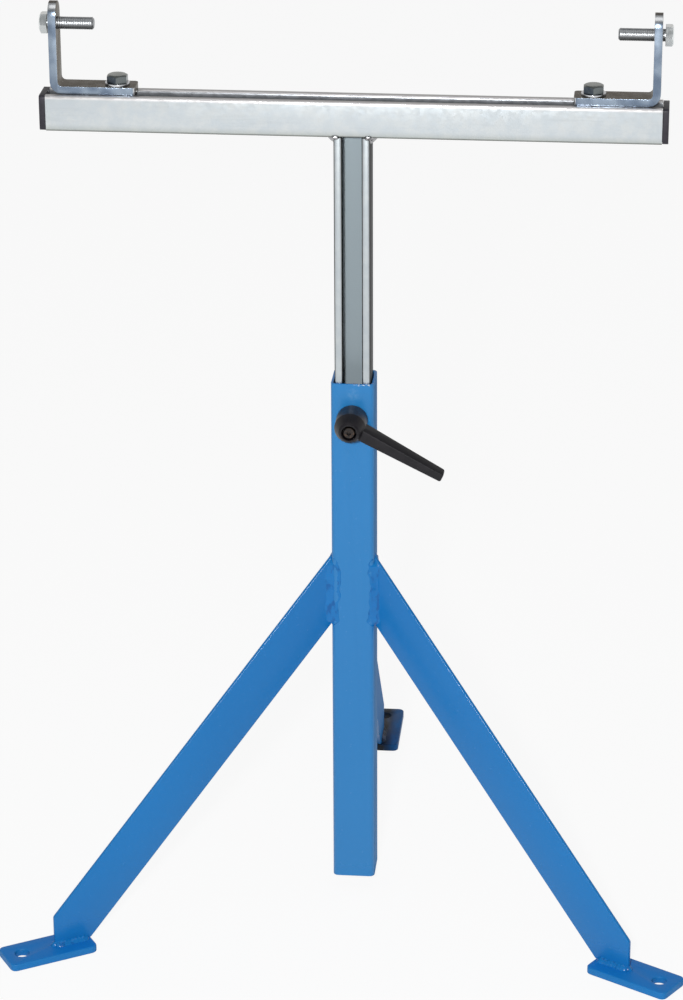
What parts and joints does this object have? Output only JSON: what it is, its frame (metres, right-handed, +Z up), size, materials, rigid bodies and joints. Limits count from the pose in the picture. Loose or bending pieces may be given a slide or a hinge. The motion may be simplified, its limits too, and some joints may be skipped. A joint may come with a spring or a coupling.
{
  "type": "roller stand",
  "caption": "Blue steel tripod stand with a channel post clamped in its column by a lever; its top rail carries sliding angle brackets with pivot bolts for a roller",
  "frame": {"origin": "on the floor, below the middle of the outer box", "axes": "+Z up; +X along the top rail to the right as seen from the lever; -Y towards the lever side"},
  "size_m": [0.8006, 0.7151, 1.0938],
  "materials": {
    "blue_paint": "semi-gloss blue paint over steel",
    "galvanised": "galvanised steel channel, mottled and dull",
    "black_plastic": "moulded black plastic",
    "zinc": "zinc-plated flat bar and washers",
    "bolt_steel": "zinc-plated bolts and spring wire",
    "dark_steel": "blackened steel"
  },
  "bodies": {
    "base": {"column_tube": "blue_paint", "leg_front_left": "blue_paint", "leg_front_right": "blue_paint", "leg_rear": "blue_paint", "foot_front_left": "blue_paint", "foot_front_right": "blue_paint", "foot_rear": "blue_paint"},
    "mast": {"post_channel": "galvanised", "top_rail": "galvanised", "rail_cap_left": "black_plastic", "rail_cap_right": "black_plastic"},
    "left_bracket": {"bracket_left": "zinc", "bracket_bolt_left": "bolt_steel", "bracket_washer_left": "zinc", "channel_nut_left": "zinc"},
    "right_bracket": {"bracket_right": "zinc", "bracket_bolt_right": "bolt_steel", "bracket_washer_right": "zinc", "channel_nut_right": "zinc"},
    "left_pivot": {"pivot_bolt_left": "bolt_steel"},
    "right_pivot": {"pivot_bolt_right": "bolt_steel"},
    "lever_core": {"clamp_stud": "dark_steel", "lever_screw": "dark_steel", "lever_spring": "bolt_steel"},
    "lever_grip": {"lever_handle": "black_plastic"},
    "lever_nut": {"clamp_nut": "zinc"}
  },
  "joints": [
    {"name": "mast_slide", "type": "slide", "parent": "base", "child": "mast", "axis": [0, 0, 1], "range_m": [-0.28, 0.18]},
    {"name": "lever_turn", "type": "hinge", "parent": "base", "child": "lever_core", "pos_m": [0, -0.12543, 0.6128], "axis": [0, -1, 0], "range_deg": [0, 120]},
    {"name": "lever_lift", "type": "slide", "parent": "lever_core", "child": "lever_grip", "axis": [0, -1, 0], "range_m": [0, 0.005], "stiffness_N_per_m": 800, "springref_m": -0.003, "deforming": ["lever_spring"]},
    {"name": "lever_nut_travel", "type": "slide", "parent": "base", "child": "lever_nut", "axis": [0, 1, 0], "range_m": [0, 0.0006]},
    {"name": "left_bracket_slide", "type": "slide", "parent": "mast", "child": "left_bracket", "axis": [1, 0, 0], "range_m": [-0.045, 0.2]},
    {"name": "right_bracket_slide", "type": "slide", "parent": "mast", "child": "right_bracket", "axis": [-1, 0, 0], "range_m": [-0.045, 0.2]},
    {"name": "left_pivot_travel", "type": "slide", "parent": "left_bracket", "child": "left_pivot", "axis": [-1, 0, 0], "range_m": [-0.0018, 0.038]},
    {"name": "right_pivot_travel", "type": "slide", "parent": "right_bracket", "child": "right_pivot", "axis": [1, 0, 0], "range_m": [-0.0031, 0.0369]}
  ],
  "couplings": [
    {"joint": "lever_nut_travel", "follows": "lever_turn", "m_per_rad": 0.00027852}
  ]
}
